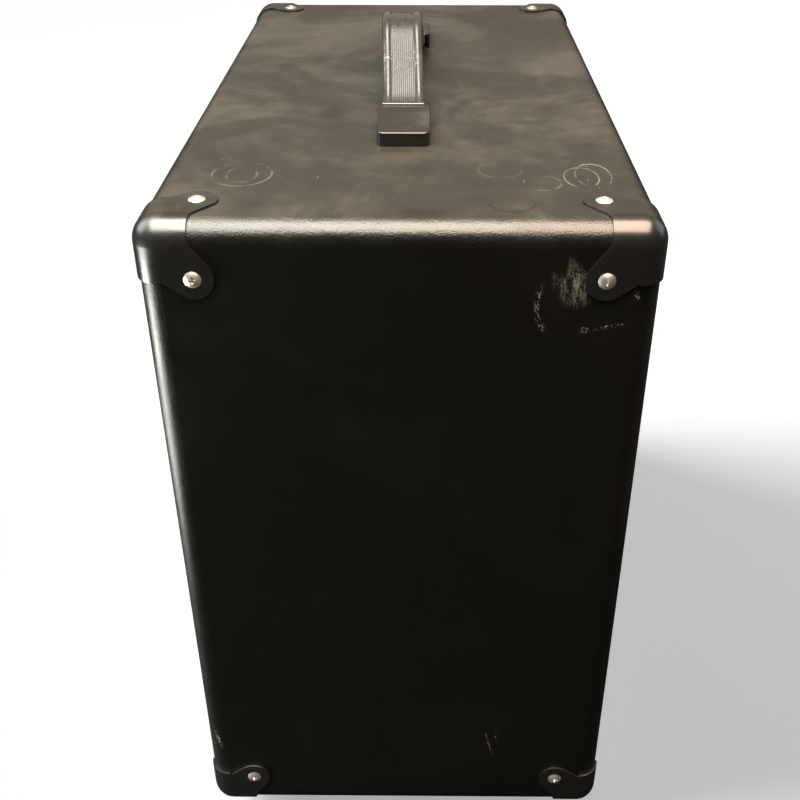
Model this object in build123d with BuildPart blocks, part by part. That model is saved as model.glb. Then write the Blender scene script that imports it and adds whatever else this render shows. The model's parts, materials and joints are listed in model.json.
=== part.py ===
"""Guitar combo amplifier: vinyl-covered plywood cabinet, 12 inch speaker and electronics tray.

Millimetres.  X runs along the width, the front (grille and knobs) faces -Y, +Z is up, and the
origin lies on the floor under the middle of the cabinet.
"""
from build123d import *
import os
from math import acos, atan2, cos, radians, sin, sqrt

os.makedirs("parts", exist_ok=True)

# ---- cabinet ----
WIDTH = 500.0
DEPTH = 266.0
HEIGHT = 438.0
FOOT_H = 14.0
TOP = FOOT_H + HEIGHT
MID_Z = FOOT_H + HEIGHT / 2
SKIN = 1.0
BOARD = 17.0
RIM = SKIN + BOARD
EDGE_R = 12.5
FINGERS = 7
WOOD_X = WIDTH / 2 - SKIN
WOOD_Y = DEPTH / 2 - SKIN
INNER_X = WOOD_X - BOARD
FLOOR_Z = FOOT_H + RIM
CEILING_Z = TOP - RIM
LINING_DEPTH = 18.0

# ---- corner protectors ----
GUARD_T = 1.4
GUARD_GAP = 0.05
SCREW_INSET = 29.3
LOBE_R = 10.8
# Reach along each edge at its narrowest and at the cusp, and how the line between them flares
SHORT_EDGE = (28.0, 30.0, 0.55)
LONG_EDGE = (32.0, 30.5, 0.0)
LIP = 17.2
PAN_R = 4.5
PAN_H = 1.9
PAN_RIM = 0.5
RECESS_L = 3.8
RECESS_W = 0.9
RECESS_DEPTH = 1.2
SEAT_R = 4.9
SEAT_DEPTH = 0.4
CORNER_SHANK_R = 1.8
CORNER_SHANK_L = 15.0
CLEAR = 0.05

# ---- feet ----
FOOT_X = 185.0
FOOT_Y = 88.0
FOOT_R = 18.0
FOOT_SCREW_R = 2.4

# ---- handle ----
HANDLE_HALF = 135.5
CAP_MOUTH = 89.5
CAP_W = 31.0
CAP_H_OUT = 8.2
CAP_H_IN = 10.3
STRAP_W = 26.0
STRAP_Z = 4.6
STRAP_RISE = 37.4
STRAP_LEAN = 3.3
STRAP_SHIFT = 1.0
END_SLOPE = 0.2
CORE_Z = 3.8
RIB_PITCH = 1.3
RIB_R = 0.42
GROOVE_R = 0.8
SHOULDER_H = 11.4
BEAD_R = 3.4
CORE_W = 12.0
CORE_T = 1.0
HANDLE_SCREW_X = 114.0
HANDLE_SCREW_R = 2.5
HANDLE_SCREW_LONG = 19.8

# ---- front and back panels ----
BAFFLE_FRONT = -113.0
BAFFLE_T = 15.0
BAFFLE_BACK = BAFFLE_FRONT + BAFFLE_T
BAFFLE_TOP = 369.0
GRILLE_TOP = 367.5
GRILLE_BOTTOM = 34.5
GRILLE_X = 229.0
GRILLE_T = 9.0
CLOTH_T = 0.8
BACK_Y = 112.0
BACK_T = 9.0
BACK_X = 230.5
BACK_OPEN_BOTTOM = 150.0
BACK_OPEN_TOP = 332.0
CLEAT = 18.0

# ---- speaker, measured from its own axis ----
SPEAKER_Z = 201.0
SPEAKER_R = 154.5
CUTOUT_R = 141.0
GASKET_T = 1.5
FLANGE_Y = BAFFLE_BACK + GASKET_T
CONE_R = 127.0
SPEAKER_BOLT_R = 148.2

# ---- electronics ----
PANEL_Z = 401.5
PANEL_FRONT = -115.0
WALL_T = 1.5
CHASSIS_FRONT = -113.0
CHASSIS_BACK = 92.0
CHASSIS_X = 200.0
CHASSIS_FLOOR = 373.0
CHASSIS_TOP = 432.5
FLANGE_X = 226.0
BOLT_X = 213.0
BOLT_Y = 45.0
KNOB_X = (-120.0, -70.0, -20.0, 30.0, 80.0)
BUSHING_R = 4.7
SHAFT_R = 3.175
JACK_X = -180.0
JACK_BORE_R = 3.25
JACK_BORE_L = 29.0
LAMP_X = 130.0
SWITCH_X = 172.0
SWITCH_Y = -114.0
ROCKER_TILT = 9.0
BOARD_Z = 384.0
INLET_X = 100.0
CABLE_X = 60.0


def front_plane(x, y, z):
    """A sketch plane whose normal looks out of the front."""
    return Plane(origin=(x, y, z), x_dir=(1, 0, 0), z_dir=(0, -1, 0))


def back_plane(x, y, z):
    """A sketch plane whose normal looks out of the back, with its own y downward."""
    return Plane(origin=(x, y, z), x_dir=(1, 0, 0), z_dir=(0, 1, 0))


def speaker_turned(profile):
    """Turn a closed (radius, y) outline about the speaker's axis."""
    with BuildPart() as turned:
        with BuildSketch(Plane((0, 0, SPEAKER_Z))):
            with BuildLine():
                Polyline(*profile, close=True)
            make_face()
        revolve(axis=Axis((0, 0, SPEAKER_Z), (0, 1, 0)))
    return turned.part


def dome_point(rim_r, rim_y, apex_y, r):
    """A point at radius r on the spherical dome through a rim circle and an apex on the axis."""
    rise = rim_y - apex_y
    ball = (rim_r**2 + rise**2) / (2 * rise)
    return (r, apex_y + ball - sqrt(ball**2 - r**2))


def rounded_box(x, y, z, radius):
    """A box about the cabinet's middle with all twelve edges rounded."""
    with BuildPart() as form:
        with Locations((0, 0, MID_Z)):
            Box(x, y, z)
        fillet(form.edges(), radius)
    return form.part


def pan_screw(plane, shank_r, shank_l):
    """A wood screw with a low domed head seated on a plane, with a cross recess."""
    upright = Plane(origin=plane.origin, x_dir=plane.x_dir, z_dir=-plane.y_dir)
    with BuildPart() as screw:
        with BuildSketch(upright):
            with BuildLine():
                Polyline((0, PAN_H), (0, -shank_l), (shank_r, -shank_l), (shank_r, 0), (PAN_R, 0),
                         (PAN_R, PAN_RIM))
                crown = dome_point(PAN_R, -PAN_RIM, -PAN_H, PAN_R / 2)
                ThreePointArc((PAN_R, PAN_RIM), (crown[0], -crown[1]), (0, PAN_H))
            make_face()
        revolve(axis=Axis(plane.origin, plane.z_dir))
        with BuildSketch(plane.offset(PAN_H)):
            Rectangle(RECESS_L, RECESS_W)
            Rectangle(RECESS_W, RECESS_L)
        extrude(amount=-RECESS_DEPTH, mode=Mode.SUBTRACT)
    return screw.part


# ---- places shared by the cabinet, its fittings and their holes ----
SIGNS = [(sx, sy) for sx in (-1, 1) for sy in (-1, 1)]
TOP_SCREWS = [(sx * (WIDTH / 2 - SCREW_INSET), sy * (DEPTH / 2 - SCREW_INSET)) for sx, sy in SIGNS]
SIDE_SCREWS = [(sy * (DEPTH / 2 - SCREW_INSET), z) for sy in (-1, 1)
               for z in (FOOT_H + SCREW_INSET, TOP - SCREW_INSET)]
FEET = [(sx * FOOT_X, sy * FOOT_Y) for sx, sy in SIGNS]
HANDLE_SCREWS = [(-HANDLE_SCREW_X, 0), (HANDLE_SCREW_X, 0)]
CHASSIS_BOLTS = [(sx * BOLT_X, sy * BOLT_Y) for sx, sy in SIGNS]
BACK_SCREWS = [(sx * 223.0, z) for sx in (-1, 1) for z in (50.0, 135.0, 347.0, 417.0)]

wood_form = rounded_box(2 * WOOD_X, 2 * WOOD_Y, HEIGHT - 2 * SKIN, EDGE_R - SKIN)
skin_form = rounded_box(WIDTH, DEPTH, HEIGHT, EDGE_R)

# Shanks of everything driven into the cabinet, with clearance, as one cutting tool
with BuildPart() as shank_holes:
    for hole_plane, places, hole_r, reach in (
        (Plane.XY.offset(TOP), TOP_SCREWS, CORNER_SHANK_R, -CORNER_SHANK_L),
        (Plane.XY.offset(FOOT_H), TOP_SCREWS, CORNER_SHANK_R, CORNER_SHANK_L),
        (Plane.YZ.offset(WIDTH / 2), SIDE_SCREWS, CORNER_SHANK_R, -CORNER_SHANK_L),
        (Plane.YZ.offset(-WIDTH / 2), SIDE_SCREWS, CORNER_SHANK_R, CORNER_SHANK_L),
        (Plane.XY.offset(FOOT_H), FEET, FOOT_SCREW_R, 14.0),
        (Plane.XY.offset(TOP), HANDLE_SCREWS, HANDLE_SCREW_R, -15.5),
        (Plane.XY.offset(CEILING_Z), CHASSIS_BOLTS, 2.4, 14.0),
    ):
        with BuildSketch(hole_plane):
            with Locations(*places):
                Circle(hole_r + CLEAR)
        extrude(amount=reach)

# ---- the four boards, finger-jointed at the corners ----
FINGER = 2 * WOOD_Y / FINGERS


def finger_slots(x, keep_odd):
    """Blocks over every other finger of the two joints at one side of the cabinet."""
    with BuildPart() as slots:
        for i in range(FINGERS):
            if i % 2 == keep_odd:
                y = -WOOD_Y + (i + 0.5) * FINGER
                for z in (CEILING_Z + BOARD / 2, FLOOR_Z - BOARD / 2):
                    with Locations((x, y, z)):
                        Box(BOARD, FINGER, BOARD)
    return slots.part


joint_x = WOOD_X - BOARD / 2
with BuildPart() as top_board:
    with Locations((0, 0, CEILING_Z + BOARD / 2)):
        Box(2 * WOOD_X, 2 * WOOD_Y, BOARD)
    for side in (-1, 1):
        add(finger_slots(side * joint_x, 1), mode=Mode.SUBTRACT)
    add(wood_form, mode=Mode.INTERSECT)
    add(shank_holes.part, mode=Mode.SUBTRACT)

with BuildPart() as bottom_board:
    with Locations((0, 0, FLOOR_Z - BOARD / 2)):
        Box(2 * WOOD_X, 2 * WOOD_Y, BOARD)
    for side in (-1, 1):
        add(finger_slots(side * joint_x, 1), mode=Mode.SUBTRACT)
    add(wood_form, mode=Mode.INTERSECT)
    add(shank_holes.part, mode=Mode.SUBTRACT)


def side_board(side):
    """One end of the cabinet, tongues between those of the top and the bottom."""
    with BuildPart() as board:
        with Locations((side * joint_x, 0, MID_Z)):
            Box(BOARD, 2 * WOOD_Y, HEIGHT - 2 * SKIN)
        add(finger_slots(side * joint_x, 0), mode=Mode.SUBTRACT)
        add(wood_form, mode=Mode.INTERSECT)
        add(shank_holes.part, mode=Mode.SUBTRACT)
    return board.part


with BuildPart() as left_side_board:
    add(side_board(-1))

with BuildPart() as right_side_board:
    add(side_board(1))

# ---- covering: skin over the outside, round both rims and a little way inside ----
with BuildPart() as vinyl_covering:
    add(skin_form)
    add(wood_form, mode=Mode.SUBTRACT)
    with BuildSketch(Plane.XZ.offset(DEPTH / 2)):
        with Locations((0, MID_Z)):
            Rectangle(2 * (INNER_X - SKIN), HEIGHT - 2 * RIM - 2 * SKIN)
    extrude(amount=-DEPTH, mode=Mode.SUBTRACT)
    for start, reach in ((WOOD_Y, -LINING_DEPTH), (-WOOD_Y, LINING_DEPTH)):
        with BuildSketch(Plane.XZ.offset(start)):
            with Locations((0, MID_Z)):
                Rectangle(2 * INNER_X, HEIGHT - 2 * RIM)
                Rectangle(2 * (INNER_X - SKIN), HEIGHT - 2 * RIM - 2 * SKIN, mode=Mode.SUBTRACT)
        extrude(amount=reach)
    add(shank_holes.part, mode=Mode.SUBTRACT)

# ---- cleats glued inside the ends: the baffle and the back panels fix to them ----
with BuildPart() as cleats:
    cleat_x = INNER_X - CLEAT / 2
    with Locations(*[(side * cleat_x, BAFFLE_BACK + CLEAT / 2, 200) for side in (-1, 1)]):
        Box(CLEAT, CLEAT, 320)
    with Locations(*[(side * cleat_x, BACK_Y - CLEAT / 2, 233) for side in (-1, 1)]):
        Box(CLEAT, CLEAT, 390)
    with BuildSketch(Plane.XZ.offset(-BACK_Y)):
        with Locations(*BACK_SCREWS):
            Circle(CORNER_SHANK_R + CLEAR)
    extrude(amount=13, mode=Mode.SUBTRACT)

# ---- corner protectors ----
FLARE = EDGE_R * 0.3


def lobe_tangent(cusp, turn):
    """Point where the straight edge from a cusp touches the round lobe about the screw."""
    away_x = cusp[0] - SCREW_INSET
    away_y = cusp[1] - SCREW_INSET
    swing = turn * acos(LOBE_R / sqrt(away_x**2 + away_y**2))
    angle = atan2(away_y, away_x) + swing
    return (SCREW_INSET + LOBE_R * cos(angle), SCREW_INSET + LOBE_R * sin(angle))


def guard_outline(first_edge, second_edge, lobed):
    """Outline of a protector on one face, measured inward from the two meeting edges."""
    outside = -2 * GUARD_T
    waist_1, cusp_1, flare_1 = first_edge
    waist_2, cusp_2, flare_2 = second_edge
    with BuildSketch() as outline:
        with BuildLine():
            Polyline((outside, waist_2), (outside, outside), (waist_1, outside), (waist_1, FLARE))
            first = Spline((waist_1, FLARE), (cusp_1, EDGE_R), tangents=((0, 1), (flare_1, 1)))
            second = Spline((EDGE_R, cusp_2), (FLARE, waist_2), tangents=((-1, -flare_2), (-1, 0)))
            Line(second @ 1, (outside, waist_2))
            if lobed:
                Polyline(first @ 1, (SCREW_INSET, SCREW_INSET), second @ 0)
            else:
                Polyline(first @ 1, (cusp_1 - 5, LIP), (LIP, LIP), (LIP, cusp_2 - 5), second @ 0)
        make_face()
        if lobed:
            with Locations((SCREW_INSET, SCREW_INSET)):
                Circle(LOBE_R)
            for cusp, turn in (((EDGE_R, cusp_2), -1), ((cusp_1, EDGE_R), 1)):
                with BuildLine():
                    Polyline(cusp, lobe_tangent(cusp, turn), (SCREW_INSET, SCREW_INSET), close=True)
                make_face()
    return outline.sketch


guard_shell = rounded_box(WIDTH + 2 * GUARD_T, DEPTH + 2 * GUARD_T, HEIGHT + 2 * GUARD_T,
                          EDGE_R + GUARD_T)
guard_inner = rounded_box(WIDTH + 2 * GUARD_GAP, DEPTH + 2 * GUARD_GAP, HEIGHT + 2 * GUARD_GAP,
                          EDGE_R + GUARD_GAP)
corner = Vector(WIDTH / 2, -DEPTH / 2, TOP)
# Each plane's own x and y run inward from the corner's two other faces, its normal inward too
top_face = Plane(origin=corner + Vector(0, 0, 2 * GUARD_T), x_dir=(-1, 0, 0), z_dir=(0, 0, -1))
end_face = Plane(origin=corner + Vector(2 * GUARD_T, 0, 0), x_dir=(0, 1, 0), z_dir=(-1, 0, 0))
rim_face = Plane(origin=corner + Vector(0, -2 * GUARD_T, 0), x_dir=(0, 0, -1), z_dir=(0, 1, 0))
with BuildPart() as guard_region:
    for face_plane, first_edge, second_edge, lobed in (
        (top_face, LONG_EDGE, SHORT_EDGE, True),
        (end_face, SHORT_EDGE, LONG_EDGE, True),
        (rim_face, LONG_EDGE, LONG_EDGE, False),
    ):
        with BuildSketch(face_plane):
            add(guard_outline(first_edge, second_edge, lobed))
        extrude(amount=2 * GUARD_T + EDGE_R)

with BuildPart() as one_guard:
    add(guard_region.part)
    add(guard_shell, mode=Mode.INTERSECT)
    add(guard_inner, mode=Mode.SUBTRACT)
    # Each screw's hole and the shallow seat for its head
    for face_plane in (top_face, end_face):
        with BuildSketch(face_plane):
            with Locations((SCREW_INSET, SCREW_INSET)):
                Circle(CORNER_SHANK_R + CLEAR)
        extrude(amount=20, mode=Mode.SUBTRACT)
        with BuildSketch(face_plane):
            with Locations((SCREW_INSET, SCREW_INSET)):
                Circle(SEAT_R)
        extrude(amount=GUARD_T + SEAT_DEPTH, mode=Mode.SUBTRACT)

with BuildPart() as corner_protectors_front:
    add(one_guard.part)
    mirror(about=Plane.YZ)
    mirror(about=Plane.XY.offset(MID_Z))

with BuildPart() as corner_protectors_rear:
    add(corner_protectors_front.part)
    mirror(about=Plane.XZ, mode=Mode.REPLACE)

seat_h = GUARD_T - SEAT_DEPTH
with BuildPart() as corner_screws:
    for x, y in TOP_SCREWS:
        add(pan_screw(Plane((x, y, TOP + seat_h)), CORNER_SHANK_R, CORNER_SHANK_L))
    for y, z in SIDE_SCREWS:
        seat = Plane(origin=(WIDTH / 2 + seat_h, y, z), x_dir=(0, 1, 0), z_dir=(1, 0, 0))
        add(pan_screw(seat, CORNER_SHANK_R, CORNER_SHANK_L))
    mirror(about=Plane.YZ)
    for x, y in TOP_SCREWS:
        seat = Plane(origin=(x, y, FOOT_H - seat_h), x_dir=(1, 0, 0), z_dir=(0, 0, -1))
        add(pan_screw(seat, CORNER_SHANK_R, CORNER_SHANK_L))

# ---- feet ----
with BuildPart() as one_foot:
    with BuildSketch(Plane.XZ):
        with BuildLine():
            Polyline((FOOT_SCREW_R + CLEAR, FOOT_H), (FOOT_R, FOOT_H), (FOOT_R, 9), (FOOT_R - 2, 1.5),
                     (FOOT_R - 3.5, 0), (11, 0), (9.5, 1.2), (6.5, 1.2), (6.5, 6),
                     (FOOT_SCREW_R + CLEAR, 6), close=True)
        make_face()
    revolve(axis=Axis.Z)

with BuildPart() as rubber_feet:
    with Locations(*FEET):
        add(one_foot.part)

with BuildPart() as foot_screws:
    for x, y in FEET:
        seat = Plane(origin=(x, y, 6), x_dir=(1, 0, 0), z_dir=(0, 0, -1))
        add(pan_screw(seat, FOOT_SCREW_R, 21))

# ---- handle ----
strap_z = TOP + STRAP_Z
mouth_low = (-95, strap_z - 4 * END_SLOPE, STRAP_SHIFT)
mouth_high = (-87, strap_z + 4 * END_SLOPE, STRAP_SHIFT)
flank = (-43.5, strap_z + 20.3, 2.1)
apex = (0, strap_z + STRAP_RISE, STRAP_LEAN)


def far_side(point):
    """The matching point on the other half of the arch."""
    return (-point[0], point[1], point[2])


with BuildLine(Plane.XZ) as strap_path:
    Line(mouth_low, mouth_high)
    Spline(mouth_high, flank, apex, far_side(flank), far_side(mouth_high),
           tangents=((1, END_SLOPE), (1, -END_SLOPE)))
    Line(far_side(mouth_high), far_side(mouth_low))
strap_start = Plane(origin=strap_path.line @ 0, x_dir=(0, 1, 0), z_dir=strap_path.line % 0)
half_thick = 2.2

with BuildPart() as handle_strap:
    with BuildSketch(strap_start):
        Rectangle(STRAP_W - 2 * BEAD_R, 2 * half_thick)
        with Locations((STRAP_W / 2 - BEAD_R, 0), (BEAD_R - STRAP_W / 2, 0)):
            Circle(BEAD_R)
        with Locations(*[(side * 6.9, half_thick + 0.3) for side in (-1, 1)]):
            Circle(GROOVE_R, mode=Mode.SUBTRACT)
        with Locations(*[(RIB_PITCH * (i - 4), half_thick) for i in range(9)]):
            Circle(RIB_R)
    sweep(path=strap_path.line)
    shoulder_mid = TOP + 1.2 + (SHOULDER_H - 1.2) / 2
    with Locations(*[(side * 87.6, -STRAP_SHIFT, shoulder_mid) for side in (-1, 1)]):
        Box(3.2, STRAP_W - 0.8, SHOULDER_H - 1.2)
    shoulder_tops = handle_strap.edges().filter_by(Axis.Y).group_by(Axis.Z)[-1]
    fillet(shoulder_tops, 0.8)
    with BuildSketch(strap_start):
        Rectangle(CORE_W + 0.1, CORE_T + 0.1)
    sweep(path=strap_path.line, mode=Mode.SUBTRACT)

with BuildPart() as handle_core:
    with BuildSketch(strap_start):
        Rectangle(CORE_W, CORE_T)
    sweep(path=strap_path.line)
    with Locations((0, 0, TOP + CORE_Z)):
        for side in (-1, 1):
            with Locations((side * 108.5, -STRAP_SHIFT, 0)):
                Box(27.2, CORE_W, CORE_T)
    with BuildSketch(Plane.XY.offset(TOP)):
        with Locations(*HANDLE_SCREWS):
            SlotOverall(10, 2 * HANDLE_SCREW_R + 0.2)
    extrude(amount=10, mode=Mode.SUBTRACT)

with BuildPart() as handle_cap_right:
    with BuildSketch(Plane.XZ.offset(-CAP_W / 2)):
        with BuildLine():
            Polyline((CAP_MOUTH, TOP), (CAP_MOUTH, TOP + CAP_H_IN), (HANDLE_HALF - 0.4, TOP + CAP_H_OUT),
                     (HANDLE_HALF, TOP), close=True)
        make_face()
    extrude(amount=CAP_W)
    outer_wall = handle_cap_right.faces().sort_by(Axis.X)[-1]
    corners = [edge for edge in outer_wall.edges() if abs(edge.tangent_at(0.5).Y) < 0.5]
    fillet(corners, 4.5)
    lid = handle_cap_right.faces().sort_by(Axis.Z)[-1]
    fillet([edge for edge in lid.edges() if edge.center().X > CAP_MOUTH + 0.1], 1.1)
    # Pockets for the strap's end and for the core with its screw
    with Locations(((CAP_MOUTH + 96.5) / 2 - 0.5, 0, TOP + 4.45)):
        Box(96.5 - CAP_MOUTH + 1, STRAP_W + 2.4, 8.5, mode=Mode.SUBTRACT)
    with Locations((110, 0, TOP + 5.1)):
        Box(28, CORE_W + 2.8, 4.0, mode=Mode.SUBTRACT)
    with BuildSketch(Plane.XY.offset(TOP)):
        with Locations((HANDLE_SCREW_X, 0)):
            Circle(HANDLE_SCREW_R + CLEAR)
    extrude(amount=6, mode=Mode.SUBTRACT)
    with Locations(*[(CAP_MOUTH + 3.2, y, TOP + CAP_H_IN - 0.15) for y in (-6, 6)]):
        Sphere(0.8)

with BuildPart() as handle_cap_left:
    add(handle_cap_right.part)
    mirror(about=Plane.YZ, mode=Mode.REPLACE)

with BuildPart() as handle_screws:
    with BuildSketch(Plane.XY.offset(TOP + CORE_Z + CORE_T / 2)):
        with Locations(*HANDLE_SCREWS):
            Circle(4.6)
    extrude(amount=1.7)
    with BuildSketch(Plane.XY.offset(TOP + CORE_Z + CORE_T / 2)):
        with Locations(*HANDLE_SCREWS):
            Circle(HANDLE_SCREW_R)
    extrude(amount=-HANDLE_SCREW_LONG)

# ---- baffle, grille and back panels ----
with BuildPart() as speaker_baffle:
    with BuildSketch(front_plane(0, BAFFLE_BACK, (FLOOR_Z + 0.5 + BAFFLE_TOP) / 2)):
        Rectangle(2 * INNER_X - 1, BAFFLE_TOP - FLOOR_Z - 0.5)
    extrude(amount=BAFFLE_T)
    with BuildSketch(front_plane(0, BAFFLE_BACK, SPEAKER_Z)):
        Circle(CUTOUT_R)
    extrude(amount=BAFFLE_T, mode=Mode.SUBTRACT)
    with BuildSketch(front_plane(0, BAFFLE_BACK, SPEAKER_Z)):
        with PolarLocations(SPEAKER_BOLT_R, 8):
            Circle(2.1 + CLEAR)
    extrude(amount=13, mode=Mode.SUBTRACT)

grille_mid = (GRILLE_TOP + GRILLE_BOTTOM) / 2
grille_tall = GRILLE_TOP - GRILLE_BOTTOM
cloth_back = BAFFLE_FRONT - 1.2
frame_back = cloth_back - CLOTH_T
with BuildPart() as grille_frame:
    with BuildSketch(front_plane(0, frame_back, grille_mid)):
        Rectangle(2 * GRILLE_X, grille_tall)
        RectangleRounded(2 * GRILLE_X - 50, grille_tall - 50, 8, mode=Mode.SUBTRACT)
    extrude(amount=GRILLE_T)

with BuildPart() as grille_cloth:
    with BuildSketch(front_plane(0, cloth_back, grille_mid)):
        RectangleRounded(2 * (GRILLE_X + CLOTH_T), grille_tall + 2 * CLOTH_T, 1.2)
    extrude(amount=GRILLE_T + 2 * CLOTH_T)
    with BuildSketch(front_plane(0, frame_back, grille_mid)):
        Rectangle(2 * GRILLE_X, grille_tall)
    extrude(amount=GRILLE_T, mode=Mode.SUBTRACT)
    with BuildSketch(front_plane(0, cloth_back, grille_mid)):
        Rectangle(2 * GRILLE_X - 30, grille_tall - 30)
    extrude(amount=CLOTH_T, mode=Mode.SUBTRACT)


def back_board(low, high):
    """A back panel between two heights, drilled for its screws."""
    with BuildPart() as board:
        with BuildSketch(Plane.XZ.offset(-BACK_Y)):
            with Locations((0, (low + high) / 2)):
                Rectangle(2 * BACK_X, high - low)
        extrude(amount=-BACK_T)
        with BuildSketch(Plane.XZ.offset(-BACK_Y)):
            with Locations(*BACK_SCREWS):
                Circle(CORNER_SHANK_R + CLEAR)
        extrude(amount=-BACK_T, mode=Mode.SUBTRACT)
    return board.part


with BuildPart() as upper_back_panel:
    add(back_board(BACK_OPEN_TOP, CEILING_Z - SKIN - 0.5))
    with BuildSketch(Plane.XZ.offset(-BACK_Y)):
        with Locations((0, 402)):
            RectangleRounded(290, 46, 6)
    extrude(amount=-BACK_T, mode=Mode.SUBTRACT)

with BuildPart() as lower_back_panel:
    add(back_board(FLOOR_Z + SKIN + 0.5, BACK_OPEN_BOTTOM))

with BuildPart() as back_panel_screws:
    for x, z in BACK_SCREWS:
        add(pan_screw(back_plane(x, BACK_Y + BACK_T, z), CORNER_SHANK_R, 20))

# ---- speaker ----
basket_lip = FLANGE_Y + 2
with BuildPart() as speaker_frame:
    add(speaker_turned([
        (SPEAKER_R, FLANGE_Y), (SPEAKER_R, basket_lip), (139.5, basket_lip), (65, -32), (65, -28),
        (28, -28), (28, -30), (62.8, -30), (62.8, -33), (137, FLANGE_Y + 1), (137, FLANGE_Y)]))
    with BuildSketch(back_plane(0, -88, SPEAKER_Z)):
        with PolarLocations(0, 8, start_angle=22.5):
            Polygon((77, -15), (128, -32), (128, 32), (77, 15), align=None)
        fillet(vertices(), 5)
    extrude(amount=54, mode=Mode.SUBTRACT)
    with BuildSketch(back_plane(0, FLANGE_Y, SPEAKER_Z)):
        with PolarLocations(SPEAKER_BOLT_R, 8):
            Circle(2.1 + CLEAR)
    extrude(amount=2, mode=Mode.SUBTRACT)

with BuildPart() as speaker_gasket:
    with BuildSketch(back_plane(0, BAFFLE_BACK, SPEAKER_Z)):
        Circle(SPEAKER_R - 0.5)
        Circle(143.5, mode=Mode.SUBTRACT)
        with PolarLocations(SPEAKER_BOLT_R, 8):
            Circle(2.1 + CLEAR, mode=Mode.SUBTRACT)
    extrude(amount=GASKET_T)

with BuildPart() as speaker_screws:
    for i in range(8):
        x = SPEAKER_BOLT_R * cos(radians(45 * i))
        z = SPEAKER_Z + SPEAKER_BOLT_R * sin(radians(45 * i))
        add(pan_screw(back_plane(x, basket_lip, z), 2.1, 15))

roll_r = 132.1
with BuildPart() as speaker_surround:
    with BuildSketch(Plane((0, 0, SPEAKER_Z))):
        with Locations((roll_r, FLANGE_Y - 0.4)):
            Circle(5.0)
            Circle(4.2, mode=Mode.SUBTRACT)
        with Locations((roll_r, FLANGE_Y + 6)):
            Rectangle(14, 12, mode=Mode.SUBTRACT)
        with Locations(((136.4 + 142.8) / 2, FLANGE_Y - 0.4)):
            Rectangle(142.8 - 136.4, 0.8)
    revolve(axis=Axis((0, 0, SPEAKER_Z), (0, 1, 0)))

with BuildPart() as speaker_cone:
    add(speaker_turned([
        (CONE_R, -97.6), (118, -94.2), (70, -72.4), (26.2, -50), (26.2, -48.7), (70, -71), (118, -93),
        (CONE_R, -96.3)]))

with BuildPart() as dust_cap:
    with BuildSketch(Plane((0, 0, SPEAKER_Z))):
        with BuildLine():
            Polyline((0, -69.2), (0, -70))
            ThreePointArc((0, -70), dome_point(40, -59.6, -70, 20), (40, -59.6))
            Line((40, -59.6), (39.3, -59.2))
            ThreePointArc((39.3, -59.2), dome_point(39.3, -59.2, -69.2, 20), (0, -69.2))
        make_face()
    revolve(axis=Axis((0, 0, SPEAKER_Z), (0, 1, 0)))

with BuildPart() as voice_coil:
    add(speaker_turned([
        (25.4, -53), (26.1, -53), (26.1, -31), (26.7, -31), (26.7, -15), (26.1, -15), (26.1, -12),
        (25.4, -12)]))

spider_r = [26.25 + i * (72 - 26.25) / 12 for i in range(13)]
spider_front = [(r, -42 - 1.3 * (i % 2)) for i, r in enumerate(spider_r)]
spider_back = [(r, y + 0.6) for r, y in reversed(spider_front)]
with BuildPart() as speaker_spider:
    add(speaker_turned(spider_front + spider_back))

with BuildPart() as magnet_top_plate:
    add(speaker_turned([(27.3, -28), (62, -28), (62, -20), (27.3, -20)]))

with BuildPart() as magnet_ring:
    add(speaker_turned([(36, -20), (70, -20), (72, -18), (72, 0), (70, 2), (36, 2)]))

with BuildPart() as pole_plate:
    add(speaker_turned([(8, -29), (24.8, -29), (24.8, 2), (62, 2), (62, 9), (61, 10), (8, 10)]))

leg_r = 100.0
leg_y = basket_lip + (139.5 - leg_r) * (-32 - basket_lip) / (139.5 - 65)
terminal_plane = Plane(origin=(0, leg_y + 0.1, SPEAKER_Z + leg_r), x_dir=(1, 0, 0),
                       z_dir=(0, 0.766, 0.643))
with BuildPart() as speaker_terminals:
    with BuildSketch(terminal_plane):
        RectangleRounded(24, 16, 2)
    extrude(amount=3)
    with BuildSketch(terminal_plane.offset(3)):
        with Locations((-7, 0), (7, 0)):
            Rectangle(0.8, 6.3)
    extrude(amount=9)

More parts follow.
